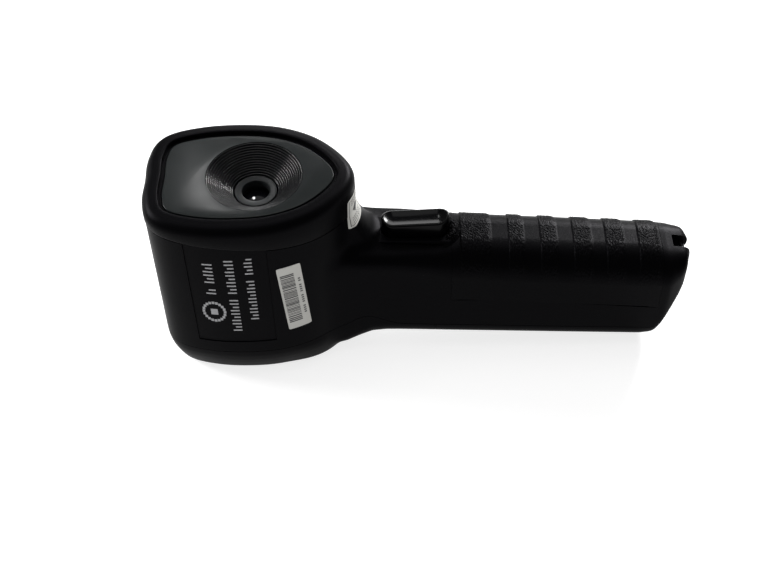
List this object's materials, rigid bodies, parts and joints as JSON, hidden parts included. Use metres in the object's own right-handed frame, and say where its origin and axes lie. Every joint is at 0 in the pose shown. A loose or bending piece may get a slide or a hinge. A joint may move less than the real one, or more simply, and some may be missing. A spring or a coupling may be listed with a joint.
{
  "type": "thermal imaging camera",
  "caption": "Handheld thermal imaging camera with a deep rounded head, a stepped lens recess, a rear display and keys, and a ribbed straight handle with a sliding trigger button.",
  "frame": {"origin": "centre of the bounding box, on the plane that the camera lies on", "axes": "+Z along the lens axis, out of the lens; +X from the head to the end of the handle; Y is the width"},
  "size_m": [0.2221, 0.0622, 0.0916],
  "materials": {
    "shell": "soft-touch satin black",
    "gloss": "smooth dark grey",
    "button": "high-gloss black",
    "rubber": "textured black rubber",
    "paper": "printed sticker",
    "glass": "dark clear",
    "board": "solder mask",
    "chip": "moulded black",
    "ribbon": "polyimide film",
    "cell": "shrink sleeve",
    "steel": "plated"
  },
  "bodies": {
    "camera": {"barcode_label": "paper", "battery_cell": "cell", "battery_contact_plate": "steel", "battery_contact_spring": "steel", "battery_lead": "rubber", "battery_tray": "shell", "board_post_1": "steel", "board_post_2": "steel", "board_screw_1": "steel", "board_screw_2": "steel", "board_screw_3": "steel", "board_screw_4": "steel", "buzzer": "chip", "charger_board": "board", "cover_screw_1": "steel", "cover_screw_2": "steel", "cover_screw_3": "steel", "cover_screw_4": "steel", "display_gasket": "rubber", "display_module": "chip", "display_window": "glass", "front_bezel": "shell", "grip_sleeve": "rubber", "lens_barrel": "gloss", "lens_cone": "gloss", "lens_element": "glass", "lens_panel": "gloss", "lens_retainer": "steel", "lens_seal_ring": "rubber", "main_board": "board", "main_housing": "shell", "name_plate": "shell", "processor_shield": "steel", "rear_cover": "shell", "seal_label": "paper", "sensor_board": "board", "sensor_bracket": "shell", "sensor_package": "chip", "sensor_ribbon": "ribbon", "sensor_screw_1": "steel", "sensor_screw_2": "steel", "strap_bar": "steel", "switch_down": "chip", "switch_menu": "chip", "switch_power": "chip", "switch_up": "chip", "trigger_board": "board", "trigger_lead": "rubber", "trigger_spring": "steel", "trigger_switch": "chip", "usb_connector": "steel"},
    "trigger": {"trigger_button": "button"},
    "menu_key": {"key_menu": "rubber"},
    "power_key": {"key_power": "rubber"},
    "up_key": {"key_up": "rubber"},
    "down_key": {"key_down": "rubber"},
    "door": {"battery_door": "shell"},
    "flap": {"usb_flap": "rubber"}
  },
  "joints": [
    {"name": "trigger_slide", "type": "slide", "parent": "camera", "child": "trigger", "axis": [0, 0, -1], "range_m": [0, 0.002], "stiffness_N_per_m": 500, "springref_m": -0.001, "deforming": ["trigger_spring"]},
    {"name": "menu_key_slide", "type": "slide", "parent": "camera", "child": "menu_key", "axis": [0, 0, 1], "range_m": [0, 0.0008], "stiffness_N_per_m": 700, "springref_m": -0.0003},
    {"name": "power_key_slide", "type": "slide", "parent": "camera", "child": "power_key", "axis": [0, 0, 1], "range_m": [0, 0.0008], "stiffness_N_per_m": 700, "springref_m": -0.0003},
    {"name": "up_key_slide", "type": "slide", "parent": "camera", "child": "up_key", "axis": [0, 0, 1], "range_m": [0, 0.0008], "stiffness_N_per_m": 700, "springref_m": -0.0003},
    {"name": "down_key_slide", "type": "slide", "parent": "camera", "child": "down_key", "axis": [0, 0, 1], "range_m": [0, 0.0008], "stiffness_N_per_m": 700, "springref_m": -0.0003},
    {"name": "door_slide", "type": "slide", "parent": "camera", "child": "door", "axis": [0.9989, 0, -0.0471], "range_m": [0, 0.055]},
    {"name": "flap_hinge", "type": "hinge", "parent": "camera", "child": "flap", "pos_m": [0.10652, 0, 0.02575], "axis": [0, -1, 0], "range_deg": [0, 100]}
  ]
}
